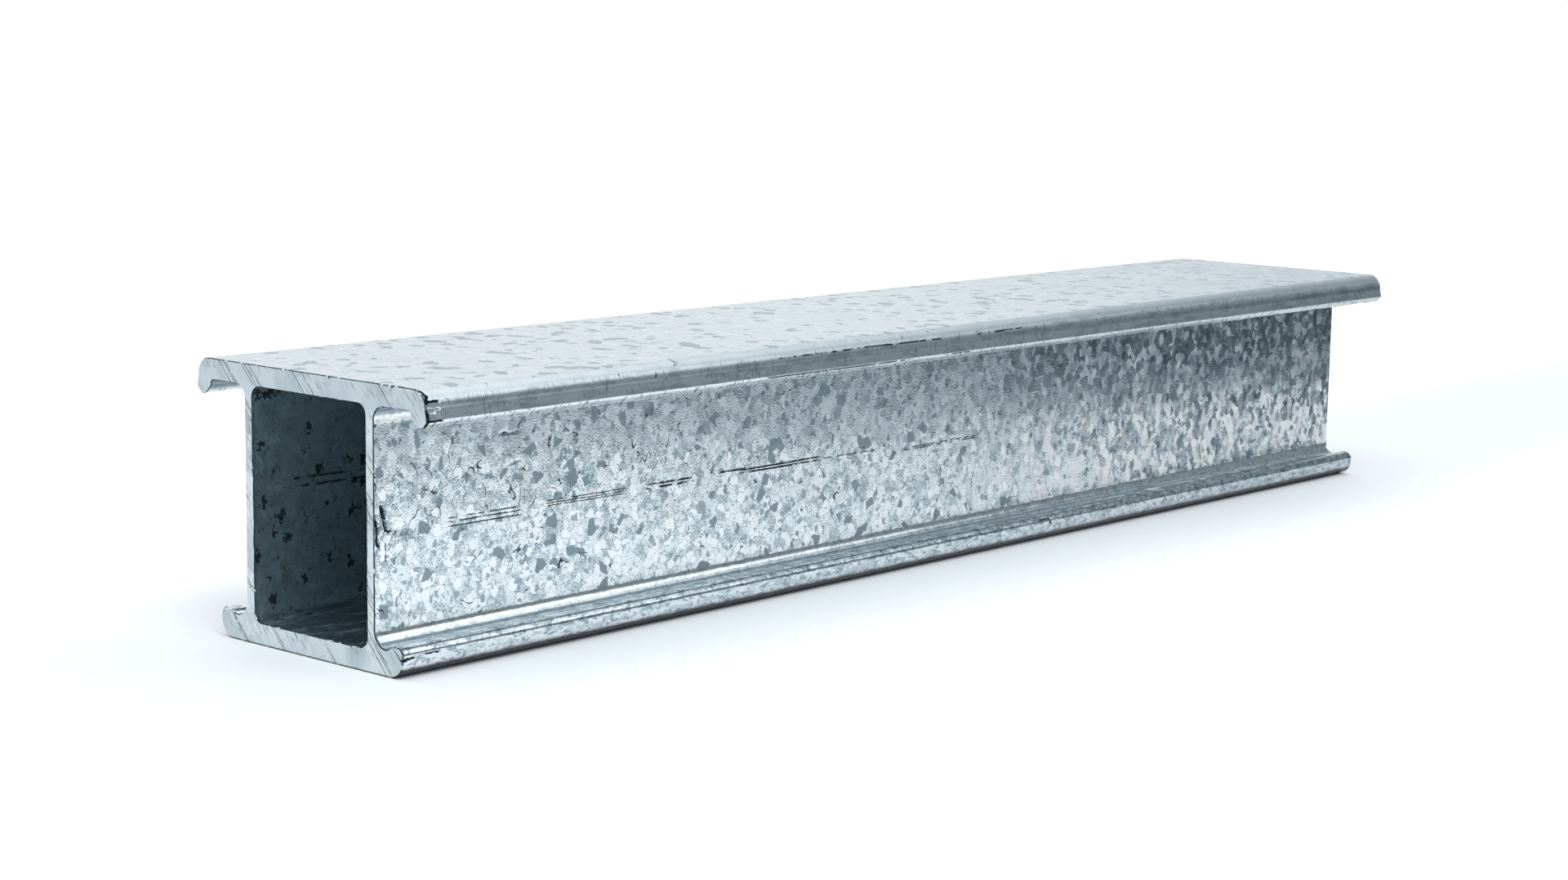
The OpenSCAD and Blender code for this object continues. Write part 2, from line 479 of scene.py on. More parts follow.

# %% [markdown]
# The saw and rough handling tore the metal in a few places, most of them at the near end. A tear
# is a line of points on the surface, in millimetres. The faces around it are divided finely, and
# the vertices close to the line are pushed in. The pushed vertices are kept in a group, because
# the bottom of a tear gets a finish of its own: almost black, painted shade in the narrow recess.

# %% Tears in the surface
TEARS = [
    # How far the tear reaches on each side of its line, the push, and the points
    (0.45, (-1.2, 0.3, -0.4), [(57.6, -309.3, 99.4), (59.0, -308.9, 98.4), (59.6, -308.3, 97.7), (60.3, -309.2, 96.8),
                               (60.7, -309.2, 95.6)]),
    (0.34, (-0.8, 0, 0), [(60.5, -309.3, 96.3), (60.6, -307.5, 95.9), (60.6, -305.5, 96.1), (60.7, -303.6, 95.7)]),
    (0.50, (-1.4, 0.2, 0), [(60.9, -309.3, 93.4), (61.1, -309.2, 92.0), (61.5, -309.3, 90.4), (61.7, -309.2, 89.2)]),
    (0.36, (-0.9, 0, 0), [(61.7, -309.2, 89.5), (61.7, -306.5, 89.3), (61.7, -304.5, 89.5), (61.7, -302.4, 89.3)]),
    (0.40, (-0.8, 0.2, 0.3), [(61.2, -309.4, 88.8), (60.2, -309.2, 87.5), (59.4, -309.0, 86.5)]),
    (0.60, (-1.3, 0, 0), [(34.6, -306.8, 57.0), (34.6, -306.2, 55.2), (34.6, -305.6, 53.2), (34.6, -305.2, 51.4),
                          (34.6, -304.6, 49.4)]),
    (0.32, (-0.8, 0, 0), [(34.6, -304.6, 48.9), (34.6, -303.2, 48.1), (34.6, -302.0, 48.6), (34.6, -300.6, 48.5)]),
    (0.30, (-0.9, 0, 0), [(34.6, -304.7, 47.2), (34.6, -304.6, 42.5), (34.6, -304.8, 37.8)]),
    (0.45, (-0.7, 0, 0), [(34.6, -309.3, 52.5), (34.6, -308.6, 49.0), (34.6, -308.9, 45.5), (34.6, -307.9, 43.4)]),
    (0.45, (-0.8, 0, 0), [(49.2, -309.9, 6.7), (49.2, -307.8, 6.9)]),
    (0.28, (-0.7, 0, 0), [(49.2, -307.8, 6.9), (49.2, -304.2, 7.3)]),
    (0.22, (-0.4, 0, 0), [(49.2, -300.6, 7.6), (49.2, -297.4, 7.7)]),
    (0.22, (-0.4, 0, 0), [(49.2, -296.2, 7.7), (49.2, -293.4, 7.5)]),
    (0.70, (-0.5, 0, 0), [(48.8, 57.0, 9.4), (49.2, 58.4, 7.6)]),
    (0.60, (-0.6, 0, 0), [(34.6, -218.6, 20.0), (34.6, -217.6, 18.4)]),
    (0.30, (-0.3, 0, 0), [(34.6, -251.0, 76.4), (34.6, -249.4, 77.0), (34.6, -247.4, 76.4)]),
    (0.26, (-0.3, 0, 0), [(34.6, -247.6, 66.6), (34.6, -245.8, 65.4), (34.6, -243.8, 66.6)]),
    (0.60, (0, 0.2, -0.5), [(11.0, -309.6, 100), (12.0, -309.6, 100)]),
    (0.60, (0, 0.2, -0.5), [(43.4, -309.6, 100), (44.4, -309.6, 100)]),
    (0.50, (0, 0.2, -0.4), [(46.6, -309.6, 100), (49.0, -309.6, 100)]),
    (0.45, (0, 0.2, -0.4), [(-12.8, -309.6, 100), (-12.0, -309.6, 100)]),
]
# A dent has the same form, but keeps its bright coat
DENTS = [
    (0.80, (-0.6, 0, 0), [(60.9, -308.9, 93.3), (60.9, -306.2, 93.0)]),
    (0.55, (-0.4, 0, 0), [(60.7, -305.0, 93.6), (60.7, -303.9, 93.4)]),
]
TORN_GROUP = "torn"


def line_distance(point, line):
    best = 100.0
    for start, end in zip(line, line[1:]):
        nearest, share = intersect_point_line(point, start, end)
        nearest = start.lerp(end, min(1, max(0, share)))
        best = min(best, (point - nearest).length)
    return best


def near_line(line, reach):
    """Makes the test for what lies within the reach of a line of points."""
    line = [Vector(point) for point in line]
    first = min(point.y for point in line) - reach
    last = max(point.y for point in line) + reach

    def test(co):
        return first < co.y / MM < last and line_distance(co / MM, line) < reach

    return test


def refine_around_tears(obj):
    tests = [near_line(line, reach + 1.5) for reach, shove, line in TEARS + DENTS]
    pick(obj, "FACE", lambda f: any(test(f.calc_center_median()) for test in tests))
    bpy.ops.mesh.subdivide(number_cuts=4)


def tear_surface(obj):
    select_only(obj)
    obj.vertex_groups.new(name=TORN_GROUP)
    bpy.ops.object.mode_set(mode="EDIT")
    refine_around_tears(obj)
    for reach, shove, line in TEARS + DENTS:
        test = near_line(line, reach)
        if pick(obj, "VERT", lambda v: test(v.co)):
            if (reach, shove, line) in TEARS:
                bpy.ops.object.vertex_group_assign()
            bpy.ops.transform.translate(value=Vector(shove) * MM)
    bpy.ops.object.mode_set(mode="OBJECT")


tear_surface(profile)
print("faces with the tears:", len(profile.data.polygons))

# %% [markdown]
# Nothing that comes out of a zinc bath is quite straight. The coat runs a little and the lower
# edges of the lips carry frozen drips. Each kind of unevenness is a Displace modifier that works
# on one group of vertices. All of them push inwards, so the profile never leaves its own box.

# %% Groups of vertices
def end_distance(co):
    return min(co.y - low.y, high.y - co.y)


def in_cavity(co):
    return abs(co.x) < (WEB_INNER + 0.3) * MM and (CAVITY_FLOOR - 0.3) * MM < co.z < (CEILING + 0.3) * MM


def group_vertices(obj, name, weight):
    group = obj.vertex_groups.new(name=name)
    for vertex in obj.data.vertices:
        amount = weight(vertex.co)
        if amount > 0:
            group.add([vertex.index], min(1.0, amount), "REPLACE")
    return group


def lip_tip_weight(co):
    if abs(co.x) < (LIP_ROOT + 1) * MM or co.z > (LIP_TIP + 1.5) * MM:
        return 0
    return 1 - max(0, co.z / MM - LIP_TIP) / 1.5


def coat_weight(co):
    """Fades out over the last millimetre, so that a push never passes the plane of the cut."""
    resting = co.z < 0.4 * MM
    return 0 if resting else end_distance(co) / MM


def saw_edge_weight(co):
    if end_distance(co) > RIM_LEAN + ON_PLANE or co.z < 1.5 * MM:
        return 0
    on_cavity = (WEB_INNER - 0.5) * MM < abs(co.x) < (WEB_INNER + 0.5) * MM
    return 1 if on_cavity and co.z < 60 * MM else 0.15


group_vertices(profile, "coat", coat_weight)
group_vertices(profile, "lip_tips", lip_tip_weight)
group_vertices(profile, "saw_edges", saw_edge_weight)

# %% Uneven surfaces
def push(obj, group, direction, size, amount, depth=1):
    texture = bpy.data.textures.new(group + "_" + direction, "CLOUDS")
    texture.noise_scale = size
    texture.noise_depth = depth
    shift = obj.modifiers.new(group, "DISPLACE")
    shift.texture = texture
    shift.texture_coords = "LOCAL"
    shift.vertex_group = group
    shift.direction = direction
    shift.strength = amount
    shift.mid_level = 1.0 if direction == "NORMAL" else 0.0
    select_only(obj)
    bpy.ops.object.modifier_apply(modifier=shift.name)


push(profile, "coat", "NORMAL", 26 * MM, 0.20 * MM)
push(profile, "coat", "NORMAL", 7 * MM, 0.05 * MM, depth=2)
push(profile, "lip_tips", "Z", 4 * MM, 0.9 * MM, depth=2)
push(profile, "saw_edges", "X", 5 * MM, 0.9 * MM, depth=2)
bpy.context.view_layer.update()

# %% [markdown]
# Faces are sorted to finishes by their place. The coat is one and the same metal everywhere, but
# rolling, handling and the saw have left different marks on the top face, the lips, the webs, the
# feet and in the cavity. Each place also has its own ground, lighter or darker, which is painted
# light and shade: brighter on the bevel and the fillet, darker on the top face, the lips and the
# ledge, and bluer in the cavity. The thin leaning rim around each end is nearly black.

# %% Finishes by place
FINISHES = ["zinc_web", "zinc_top", "zinc_lip", "zinc_bevel", "zinc_fillet", "zinc_ledge", "zinc_bead",
            "zinc_cavity", "sawn_steel", "saw_rim", "torn_steel"]
BEVEL_LINE = BEVEL_TOP * MM


def finish_at(face):
    centre, normal = face.center, face.normal
    if end_distance(centre) < 0.45 * MM and abs(normal.y) > 0.5:
        return "sawn_steel" if abs(normal.y) > 0.97 else "saw_rim"
    if in_cavity(centre):
        return "zinc_cavity"
    if centre.z > (HEIGHT - 0.8) * MM and normal.z > 0.9:
        return "zinc_top"
    if abs(centre.x) > (LIP_ROOT + 2.2) * MM and centre.z > (LIP_TIP - 0.5) * MM:
        return "zinc_bevel" if centre.z < BEVEL_LINE else "zinc_lip"
    if centre.z > (LEDGE + 5.2) * MM:
        return "zinc_web"
    if abs(centre.x) > (BEAD_START + 0.8) * MM or centre.z < (LEDGE - 1) * MM:
        return "zinc_bead"
    return "zinc_ledge" if normal.z > 0.93 else "zinc_fillet"


def sort_faces(obj):
    group = obj.vertex_groups[TORN_GROUP].index
    torn = {v.index for v in obj.data.vertices if any(member.group == group for member in v.groups)}
    for face in obj.data.polygons:
        is_torn = 2 * len(torn.intersection(face.vertices)) > len(face.vertices) and abs(face.normal.y) < 0.97
        face.material_index = FINISHES.index("torn_steel" if is_torn else finish_at(face))


for finish in FINISHES:
    profile.data.materials.append(bpy.data.materials.new(finish))
sort_faces(profile)
select_only(profile)
bpy.ops.object.shade_smooth_by_angle(angle=math.radians(38))

# %% [markdown]
# The zinc coat freezes in crystals, called spangle, a few millimetres across. Each one lies at its
# own tilt and catches another part of the room, so the coat looks like a patchwork of flat, sharp
# edged spots. Voronoi cells have just that shape. A noise shifts the point where the cells are
# read, which makes their sides ragged, and a few cells are picked out by their random number.
# The smallest helpers make one kind of mark each, as a mask from 0 to 1.

# %% Kinds of marks in the coat


def place_of(tree, offset=(0.0, 0.0, 0.0), stretch=(1.0, 1.0, 1.0)):
    place = add(tree, "ShaderNodeTexCoord").outputs["Object"]
    return add(tree, "ShaderNodeMapping", {"Vector": place, "Location": offset, "Scale": stretch}).outputs[0]


def noise(tree, place, size, detail=3.0, roughness=0.6):
    sockets = {"Vector": place, "Scale": 1 / size, "Detail": detail, "Roughness": roughness}
    return add(tree, "ShaderNodeTexNoise", sockets).outputs["Fac"]


def vector_math(tree, operation, *values, scale=None):
    sockets = dict(enumerate(values))
    if scale is not None:
        sockets["Scale"] = scale
    return add(tree, "ShaderNodeVectorMath", sockets, operation=operation).outputs[0]


def ragged(tree, place, size, amount):
    shake = add(tree, "ShaderNodeTexNoise", {"Vector": place, "Scale": 1 / size, "Detail": 3.0})
    centred = vector_math(tree, "SUBTRACT", shake.outputs["Color"], (0.5, 0.5, 0.5))
    return vector_math(tree, "ADD", place, vector_math(tree, "SCALE", centred, scale=amount))


def crystals(tree, place, size, share):
    """A mask of the cells picked out, and the random colour of every cell."""
    cells = add(tree, "ShaderNodeTexVoronoi", {"Vector": place, "Scale": 1 / size})
    number = add(tree, "ShaderNodeSeparateColor", {0: cells.outputs["Color"]}).outputs[0]
    return ramp(tree, number, 0.99 - share, 1.01 - share), cells.outputs["Color"]


def dots(tree, place, size, reach, share):
    """Small round specks around some of the cell centres."""
    cells = add(tree, "ShaderNodeTexVoronoi", {"Vector": place, "Scale": 1 / size})
    number = add(tree, "ShaderNodeSeparateColor", {0: cells.outputs["Color"]}).outputs[1]
    spot = ramp(tree, cells.outputs["Distance"], reach * 0.6, reach, 1.0, 0.0)
    return math_node(tree, "MULTIPLY", spot, ramp(tree, number, 0.98 - share, 1.0 - share))


def seams(tree, place, size, width):
    """The thin lines between cells."""
    cells = add(tree, "ShaderNodeTexVoronoi", {"Vector": place, "Scale": 1 / size}, feature="DISTANCE_TO_EDGE")
    return ramp(tree, cells.outputs["Distance"], width * 0.4, width, 1.0, 0.0)


def strokes(tree, place, size, width, share):
    """Short curved lines: pieces of the line where a noise passes through its middle value."""
    middle = math_node(tree, "SUBTRACT", noise(tree, place, size, 1.0, 0.45), 0.5)
    line = ramp(tree, math_node(tree, "ABSOLUTE", middle), width * 0.3, width, 1.0, 0.0)
    kept = ramp(tree, noise(tree, vector_math(tree, "ADD", place, (3.0, 5.0, 7.0)), size * 0.6, 1.0), 0.66 - share, 0.72 - share)
    return math_node(tree, "MULTIPLY", line, kept)


def layer(tree, colour, mask, strength, over):
    """Lays a colour over another where the mask is, as strongly as asked."""
    return mix_colour(tree, math_node(tree, "MULTIPLY", mask, strength, clamp=True), colour, over)


# %% [markdown]
# One function builds every zinc finish. A look is a short table of strengths, so the finishes
# differ in numbers only. The order of the layers is the order in which they came about: the
# ground, the cloudy grey of the bath, crystals pale and dark, then specks, strokes and stains.
# Among the crystals, the upper web is laid grey as painted shade, and the marks at a place, laid
# last, include painted highlights and shade.

# %% Zinc finish
PALE = (0.84, 0.90, 0.93, 1.0)
BRIGHT = (0.95, 0.98, 1.0, 1.0)
MIDDLE = (0.55, 0.63, 0.67, 1.0)
GREY = (0.32, 0.39, 0.43, 1.0)
SPECK = (0.20, 0.26, 0.29, 1.0)
BLACK = (0.012, 0.022, 0.028, 1.0)


def position(tree):
    return add(tree, "ShaderNodeSeparateXYZ", {0: place_of(tree)}).outputs


def shaded_web_band(tree):
    """The smoother upper band of the web, laid grey as painted shade, whose edge falls from the near end to the far."""
    x, y, z = position(tree)
    near_edge = ramp(tree, y, -0.28, 0.0, 74 * MM, 54 * MM)
    edge = math_node(tree, "SUBTRACT", near_edge, ramp(tree, y, 0.0, 0.28, 0.0, 8 * MM))
    wander = math_node(tree, "SUBTRACT", noise(tree, place_of(tree), 12 * MM), 0.5)
    above = math_node(tree, "ADD", math_node(tree, "SUBTRACT", z, edge), math_node(tree, "MULTIPLY", wander, 34 * MM))
    return ramp(tree, above, -7 * MM, 7 * MM)


def far_part(tree):
    return ramp(tree, position(tree)[1], -60 * MM, 170 * MM)


def finish_zinc(material, look):
    tree = new_tree(material)
    place = place_of(tree)
    calm = shaded_web_band(tree) if look.get("band") else None
    lively = math_node(tree, "SUBTRACT", 1.0, math_node(tree, "MULTIPLY", calm, 0.8)) if calm else 1.0

    def layered(colour, mask, name, over, everywhere=False):
        if not look.get(name):
            return colour
        strength = look[name] if everywhere else math_node(tree, "MULTIPLY", lively, look[name])
        return layer(tree, colour, mask, strength, over)

    bent = ragged(tree, place, 2.2 * MM, 1.8 * MM)
    patches, tilt = crystals(tree, bent, 4.6 * MM, look.get("share", 0.06))
    plates, plate_tilt = crystals(tree, bent, 3.2 * MM, 0.26)
    bits, bit_tilt = crystals(tree, bent, 2.0 * MM, 0.06)
    cloud = noise(tree, place, 7 * MM, 6.0, 0.74)
    crust = ramp(tree, cloud, 0.49, 0.52)
    fine = noise(tree, place, 0.8 * MM, 2.0, 0.6)
    rings = seams(tree, bent, 1.1 * MM, 0.12)
    edges = math_node(tree, "MULTIPLY", seams(tree, bent, 3.2 * MM, 0.05), ramp(tree, fine, 0.46, 0.54))
    specks = dots(tree, place, 1.3 * MM, 0.30, 0.26)
    lines = strokes(tree, place, 7.5 * MM, 0.014, look.get("stroke_share", 0.04))

    colour = mix_colour(tree, 0.0, look.get("ground", PALE), PALE)
    colour = layered(colour, ramp(tree, cloud, 0.49, 0.56), "cloud", MIDDLE)
    colour = layered(colour, math_node(tree, "MULTIPLY", crust, rings), "rings", GREY)
    colour = layered(colour, math_node(tree, "MULTIPLY", crust, ramp(tree, fine, 0.50, 0.54)), "fine", GREY)
    colour = layered(colour, specks, "specks", SPECK)
    colour = layered(colour, plates, "plates", BRIGHT)
    colour = layered(colour, edges, "edges", SPECK)
    # Painted shade: the upper band of the web is laid a darker grey.
    if calm:
        colour = layer(tree, colour, calm, 0.46, (0.48, 0.55, 0.59, 1.0))
    colour = layered(colour, bits, "bits", GREY, everywhere=True)
    colour = layered(colour, patches, "patches", GREY, everywhere=True)
    colour = layered(colour, lines, "strokes", BLACK, everywhere=True)
    for extra in look.get("extras", []):
        mask, amount, over = extra(tree)
        colour = layer(tree, colour, mask, amount, over)

    normal = add(tree, "ShaderNodeNewGeometry").outputs["Normal"]
    lean = vector_math(tree, "SUBTRACT", plate_tilt, (0.5, 0.5, 0.5))
    lean = vector_math(tree, "SCALE", lean, scale=look.get("tilt", 0.1))
    if look.get("far_tilt"):
        x, y, z = position(tree)
        more = ramp(tree, y, 0.0, 0.2, 0.0, look["far_tilt"] - 1)
        quiet = math_node(tree, "MULTIPLY", between(tree, z, 0.046, 0.066, 0.006), 0.8)
        more = math_node(tree, "MULTIPLY", more, math_node(tree, "SUBTRACT", 1.0, quiet))
        lean = vector_math(tree, "SCALE", lean, scale=math_node(tree, "ADD", more, 1.0))
    leaning = vector_math(tree, "NORMALIZE", vector_math(tree, "ADD", normal, lean))
    height = math_node(tree, "SUBTRACT", fine, lines) if look.get("strokes") else fine
    bump = {"Height": height, "Strength": look.get("bump", 0.3), "Distance": 0.2 * MM, "Normal": leaning}
    bump = add(tree, "ShaderNodeBump", bump).outputs[0]
    rough = look["rough"]
    if look.get("patches"):
        rough = math_node(tree, "ADD", rough, math_node(tree, "MULTIPLY", patches, 0.2))
    sockets = {"Base Color": colour, "Metallic": 1.0, "Roughness": rough, "Normal": bump}
    shader = add(tree, "ShaderNodeBsdfPrincipled", sockets)
    add(tree, "ShaderNodeOutputMaterial", {"Surface": shader.outputs[0]})


# %% [markdown]
# Some marks sit at one place on the real piece: scratches drawn along the web by a guide and a
# seam along the lip. Painted light and shade sit at a place too: the white band high on the web
# and the black line at the foot. Each is a band in height, a stretch along the length, and a
# noise that breaks it up.

# %% Marks at a place


def between(tree, value, start, end, soft):
    rise = ramp(tree, value, start - soft, start + soft)
    return math_node(tree, "MULTIPLY", rise, ramp(tree, value, end - soft, end + soft, 1.0, 0.0))


def along(tree, stretches, soft=1.5):
    y = position(tree)[1]
    masks = [between(tree, y, start * MM, end * MM, soft * MM) for start, end in stretches]
    total = masks[0]
    for mask in masks[1:]:
        total = math_node(tree, "MAXIMUM", total, mask)
    return total


def broken(tree, share, size=2.0):
    """Gaps along the length."""
    return ramp(tree, noise(tree, place_of(tree, stretch=(1, 0.35, 1)), size * MM, 2.0), 0.60 - share, 0.66 - share)


def long_lines(tree, heights, thickness, stretches, share, waver=0.5):
    """Thin lines along the length at the given heights in millimetres."""
    x, y, z = position(tree)
    drift = math_node(tree, "MULTIPLY", math_node(tree, "SUBTRACT", noise(tree, place_of(tree, stretch=(0, 1, 0)), 60 * MM, 1.0), 0.5), waver * 4 * MM)
    z = math_node(tree, "ADD", z, drift)
    total = None
    for height in heights:
        off = math_node(tree, "ABSOLUTE", math_node(tree, "SUBTRACT", z, height * MM))
        line = ramp(tree, off, thickness * 0.25 * MM, thickness * 0.5 * MM, 1.0, 0.0)
        total = line if total is None else math_node(tree, "MAXIMUM", total, line)
    total = math_node(tree, "MULTIPLY", total, along(tree, stretches))
    return math_node(tree, "MULTIPLY", total, broken(tree, share))


# Each guide scratch: start and end along the length, heights of its lines and their thickness
GUIDE_SCRATCHES = [
    (-276, -242, (49.6, 48.2, 46.6), 0.65),
    (-230, -189, (49.9, 48.9, 48.0), 0.5),
    (-178, -152, (49.6, 48.2), 1.1),
    (-138, -122, (49.8,), 1.0),
    (-126, -80, (49.4, 48.2), 1.0),
    (-77, -44, (48.6,), 0.6),
    (-27, 22, (47.4, 46.6), 0.6),
]


def guide_scratches(tree):
    total = 0.0
    for start, end, heights, thickness in GUIDE_SCRATCHES:
        lines = long_lines(tree, heights, thickness, [(start, end)], 0.2, 0.25)
        total = math_node(tree, "MAXIMUM", total, lines)
    return total, 0.97, BLACK


def guide_gleam(tree):
    """White lines beside the dark ones, where the metal is rubbed bright."""
    stretches = [(start - 2, end + 6) for start, end, heights, thickness in GUIDE_SCRATCHES]
    return long_lines(tree, [48.9, 47.5], 0.6, stretches, 0.04, 0.25), 0.85, BRIGHT


def tear_smudge(tree):
    x, y, z = position(tree)
    spot = math_node(tree, "MULTIPLY", between(tree, y, -0.311, -0.3052, 0.0006), between(tree, z, 0.037, 0.056, 0.003))
    crumple = ramp(tree, noise(tree, place_of(tree), 1.6 * MM, 3.0, 0.7), 0.46, 0.56)
    return math_node(tree, "MULTIPLY", math_node(tree, "MULTIPLY", spot, crumple), ramp(tree, x, 0.034, 0.0342)), 0.85, SPECK


def tear_gleam(tree):
    x, y, z = position(tree)
    spot = math_node(tree, "MULTIPLY", between(tree, y, -0.3070, -0.3052, 0.0002), between(tree, z, 0.0385, 0.0452, 0.0003))
    return spot, 1.0, WHITE


def throat_painted_highlight(tree):
    """Painted highlight: a white band high on the web, in the throat of the open channel beside it."""
    x, y, z = position(tree)
    chips = ramp(tree, noise(tree, place_of(tree), 2 * MM, 3.0, 0.7), 0.40, 0.46)
    return math_node(tree, "MULTIPLY", between(tree, z, 0.0855, 0.0884, 0.0004), chips), 0.9, WHITE


def throat_shade(tree):
    return ramp(tree, position(tree)[2], 0.0884, 0.0892), 0.75, GREY


def dark_strokes(tree):
    """Thin curved cracks in the coat, most of them in the upper middle of the near third."""
    x, y, z = position(tree)
    lines = strokes(tree, place_of(tree, (0.31, 0.17, 0.05), (1, 1, 0.7)), 8 * MM, 0.016, 0.10)
    where = math_node(tree, "MULTIPLY", between(tree, z, 0.046, 0.080, 0.008), ramp(tree, y, -0.22, -0.05, 1.0, 0.3))
    return math_node(tree, "MULTIPLY", lines, where), 0.95, BLACK


def far_flecks(tree):
    """Bright upright flecks low on the far part of the web."""
    place = ragged(tree, place_of(tree, stretch=(1, 1, 0.6)), 2.0 * MM, 1.4 * MM)
    flecks = crystals(tree, place, 3.6 * MM, 0.46)[0]
    calm = math_node(tree, "SUBTRACT", 1.0, shaded_web_band(tree))
    return math_node(tree, "MULTIPLY", math_node(tree, "MULTIPLY", flecks, calm), far_part(tree)), 1.0, WHITE


def far_shades(tree):
    """Dark upright flecks between them."""
    place = ragged(tree, place_of(tree, (0.1, 0.2, 0.3), (1, 1, 0.5)), 2.0 * MM, 1.4 * MM)
    flecks = crystals(tree, place, 3.0 * MM, 0.24)[0]
    return math_node(tree, "MULTIPLY", flecks, far_part(tree)), 0.6, GREY


def far_blotches(tree):
    """Soft dark blotches high on the far part of the web."""
    x, y, z = position(tree)
    blotch = ramp(tree, noise(tree, place_of(tree, stretch=(1, 1, 0.7)), 8 * MM, 3.0, 0.6), 0.44, 0.56)
    high_up = math_node(tree, "MULTIPLY", ramp(tree, z, 0.050, 0.066), ramp(tree, y, -0.02, 0.14))
    return math_node(tree, "MULTIPLY", blotch, high_up), 0.55, (0.25, 0.31, 0.35, 1.0)


def far_smear(tree):
    x, y, z = position(tree)
    smear = ramp(tree, noise(tree, place_of(tree, stretch=(1, 0.4, 1)), 5 * MM, 3.0), 0.48, 0.58)
    where = math_node(tree, "MULTIPLY", between(tree, z, 0.0575, 0.0635, 0.002), ramp(tree, y, 0.23, 0.27))
    return math_node(tree, "MULTIPLY", smear, where), 0.9, WHITE


def lip_seam(tree):
    return long_lines(tree, [95.9], 0.8, [(-134, -36), (-14, 18)], 0.16, 0.3), 0.95, BLACK


def lip_ticks(tree):
    """Short upright scratches across the flat of the lip."""
    fine = noise(tree, place_of(tree, stretch=(0.2, 1, 0.12)), 0.7 * MM, 2.0)
    ticks = math_node(tree, "MULTIPLY", ramp(tree, fine, 0.60, 0.66), broken(tree, 0.14, 6))
    return math_node(tree, "MULTIPLY", ticks, ramp(tree, position(tree)[2], 0.0965, 0.0975, 1.0, 0.15)), 0.7, SPECK


def lip_blush(tree):
    """The grey of the lip lies in flat clouds that are drawn out along it."""
    cloud = noise(tree, place_of(tree, stretch=(1, 0.3, 1)), 4 * MM, 4.0, 0.7)
    return math_node(tree, "MULTIPLY", ramp(tree, cloud, 0.48, 0.60), ramp(tree, position(tree)[2], 0.0965, 0.0975, 1.0, 0.2)), 0.45, GREY


def bevel_line(tree):
    return long_lines(tree, [89.25], 1.0, [(-141, -55), (-30, -15)], 0.22, 0.0), 0.95, BLACK


def bevel_ticks(tree):
    fine = noise(tree, place_of(tree, stretch=(0.3, 1, 0.3)), 1.3 * MM, 1.0)
    return ramp(tree, fine, 0.62, 0.66), 0.9, SPECK


def fillet_shade(tree):
    """Ragged dark line where the web turns into the ledge."""
    x, y, z = position(tree)
    ragged_z = math_node(tree, "ADD", z, math_node(tree, "MULTIPLY", noise(tree, place_of(tree, stretch=(1, 1, 0.3)), 1.5 * MM), 0.0016))
    return ramp(tree, ragged_z, 0.0142, 0.0152), 0.35, GREY


def fillet_mottle(tree):
    """Grey spots that break up the bright line of the radius."""
    spots = noise(tree, place_of(tree, stretch=(1, 0.5, 1)), 2.2 * MM, 4.0, 0.75)
    return ramp(tree, spots, 0.51, 0.56), 0.6, MIDDLE


def ledge_lines(tree):
    streak = noise(tree, place_of(tree, stretch=(1, 0.015, 1)), 1.1 * MM, 2.0, 0.7)
    return ramp(tree, streak, 0.50, 0.60), 0.6, GREY


def bead_crease_shade(tree):
    """Painted shade: the thin dark line in the crease where the ledge meets the bead."""
    x, y, z = position(tree)
    off = math_node(tree, "ABSOLUTE", math_node(tree, "SUBTRACT", math_node(tree, "ABSOLUTE", x), 0.0426))
    return math_node(tree, "MULTIPLY", ramp(tree, off, 0.0001, 0.00035, 1.0, 0.0), broken(tree, 0.2, 6)), 0.8, SPECK


def bead_crust(tree):
    """Pale crusts and grey blotches, drawn out along the bead, from a few centimetres in."""
    crust = noise(tree, place_of(tree, stretch=(1, 0.35, 1)), 2.4 * MM, 5.0, 0.78)
    return math_node(tree, "MULTIPLY", ramp(tree, crust, 0.49, 0.51), ramp(tree, position(tree)[1], -0.300, -0.27)), 0.85, MIDDLE


def bead_flakes(tree):
    crust = noise(tree, place_of(tree, (0.4, 0.1, 0.2), (1, 0.5, 1)), 2.2 * MM, 4.0, 0.75)
    return ramp(tree, crust, 0.53, 0.56), 0.9, GREY


def bead_painted_shade(tree):
    """Painted shade: the black line where the bead turns under, towards the floor."""
    x, y, z = position(tree)
    return ramp(tree, z, 2.4 * MM, 4.4 * MM, 1.0, 0.0), 0.97, BLACK


def cavity_scratches(tree):
    return long_lines(tree, [57.2, 54.2], 1.3, [(-293, -240)], 0.13, 0.3), 0.75, BLACK


def cavity_blots(tree):
    place = ragged(tree, place_of(tree, stretch=(1, 0.8, 0.6)), 1.2 * MM, 4.0 * MM)
    return crystals(tree, place, 2.2 * MM, 0.05)[0], 0.8, BLACK


# Painted light: pale blue clouds that lighten the cavity walls.
def cavity_painted_light(tree):
    cloud = noise(tree, place_of(tree), 4 * MM, 5.0, 0.8)
    return ramp(tree, cloud, 0.46, 0.56), 0.8, (0.81, 0.95, 1.0, 1.0)


def cavity_floor_shade(tree):
    x, y, z = position(tree)
    streak = noise(tree, place_of(tree, stretch=(1, 0.25, 1)), 5 * MM, 4.0, 0.7)
    low_down = math_node(tree, "MULTIPLY", ramp(tree, z, 8.5 * MM, 10.5 * MM, 1.0, 0.0), ramp(tree, streak, 0.34, 0.52))
    return low_down, 0.8, (0.16, 0.22, 0.26, 1.0)


def top_far_shade(tree):
    x, y, z = position(tree)
    streak = noise(tree, place_of(tree, stretch=(1, 0.6, 1)), 16 * MM, 4.0, 0.6)
    return math_node(tree, "MULTIPLY", ramp(tree, streak, 0.40, 0.60), ramp(tree, y, 0.02, 0.26)), 0.45, MIDDLE


